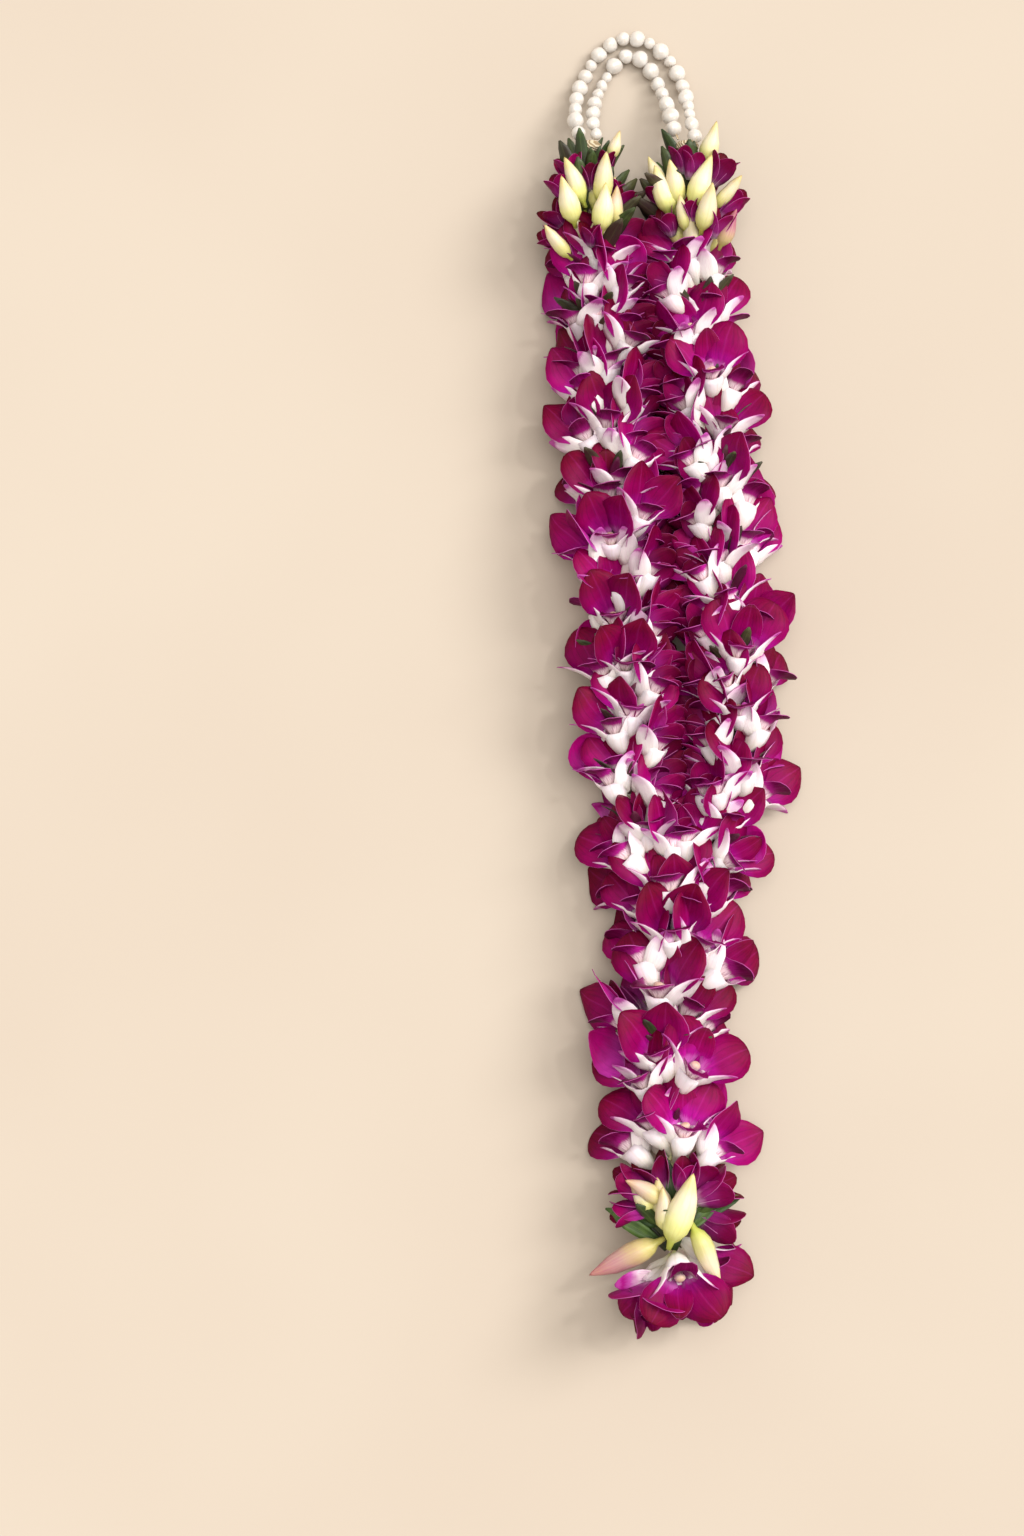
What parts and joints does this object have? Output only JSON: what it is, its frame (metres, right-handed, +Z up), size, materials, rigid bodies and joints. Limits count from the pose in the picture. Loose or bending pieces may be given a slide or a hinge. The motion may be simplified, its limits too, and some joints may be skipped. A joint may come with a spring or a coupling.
{
  "type": "wedding garland",
  "caption": "Two-strand orchid neck garland lying flat, with a joined flower tail, buds and leaves at the top and a double pearl-bead neck loop.",
  "frame": {"origin": "under the middle of the whole garland, on the surface it lies on", "axes": "+Y from the tail to the pearl neck loop, +X across the strands, +Z up from the surface"},
  "size_m": [0.1502, 0.7834, 0.063],
  "materials": {
    "petal": "matt",
    "bud": "satin",
    "leaf": "satin",
    "pearl": "gloss",
    "cord": "matt"
  },
  "bodies": {
    "root": {"left_cord": "cord", "left_neck_knot": "cord", "left_leaf_collar": "leaf", "left_upper_buds": "bud", "left_lower_buds": "bud", "left_flowers_01": "petal", "left_flowers_02": "petal", "left_leaves_01": "leaf", "left_flowers_03": "petal", "left_flowers_04": "petal", "left_flowers_05": "petal", "left_leaves_02": "leaf", "left_flowers_06": "petal", "left_flowers_07": "petal", "left_flowers_08": "petal", "left_leaves_03": "leaf", "left_flowers_09": "petal", "left_flowers_10": "petal", "left_flowers_11": "petal", "right_cord": "cord", "right_neck_knot": "cord", "right_leaf_collar": "leaf", "right_upper_buds": "bud", "right_lower_buds": "bud", "right_flowers_01": "petal", "right_flowers_02": "petal", "right_leaves_01": "leaf", "right_flowers_03": "petal", "right_flowers_04": "petal", "right_flowers_05": "petal", "right_leaves_02": "leaf", "right_flowers_06": "petal", "right_flowers_07": "petal", "right_flowers_08": "petal", "right_leaves_03": "leaf", "right_flowers_09": "petal", "right_flowers_10": "petal", "right_flowers_11": "petal", "junction_knot": "cord", "tail_cord": "cord", "tail_flowers_01": "petal", "tail_flowers_02": "petal", "tail_flowers_03": "petal", "tail_flowers_04": "petal", "tail_flowers_05": "petal", "tail_leaves": "leaf", "tail_buds": "bud", "tail_leaf_collar": "leaf", "tail_end_flowers": "petal", "tail_knot": "cord", "outer_pearl_string": "pearl", "inner_pearl_string": "pearl"}
  },
  "joints": []
}
